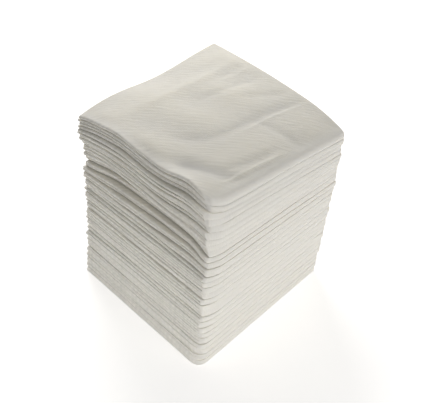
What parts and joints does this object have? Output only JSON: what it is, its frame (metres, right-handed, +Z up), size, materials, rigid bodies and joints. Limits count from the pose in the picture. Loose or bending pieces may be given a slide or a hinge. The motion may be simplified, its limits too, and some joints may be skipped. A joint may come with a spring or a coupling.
{
  "type": "stack of paper napkins",
  "caption": "Leaning stack of square white paper napkins, each folded into quarters, with rounded folds on one side.",
  "frame": {"origin": "middle of the underside of the lowest napkin", "axes": "+Z up, +X towards the side with the rounded folds, -Y towards the side with the creased folds"},
  "size_m": [0.1239, 0.1364, 0.144],
  "materials": {
    "tissue": "soft embossed white tissue"
  },
  "bodies": {
    "root": {"napkin_01": "tissue", "napkin_02": "tissue", "napkin_03": "tissue", "napkin_04": "tissue", "napkin_05": "tissue", "napkin_06": "tissue", "napkin_07": "tissue", "napkin_08": "tissue", "napkin_09": "tissue", "napkin_10": "tissue", "napkin_11": "tissue", "napkin_12": "tissue", "napkin_13": "tissue", "napkin_14": "tissue", "napkin_15": "tissue", "napkin_16": "tissue", "napkin_17": "tissue", "napkin_18": "tissue", "napkin_19": "tissue", "napkin_20": "tissue", "napkin_21": "tissue", "napkin_22": "tissue", "napkin_23": "tissue", "napkin_24": "tissue", "napkin_25": "tissue", "napkin_26": "tissue", "napkin_27": "tissue", "napkin_28": "tissue"}
  },
  "joints": []
}
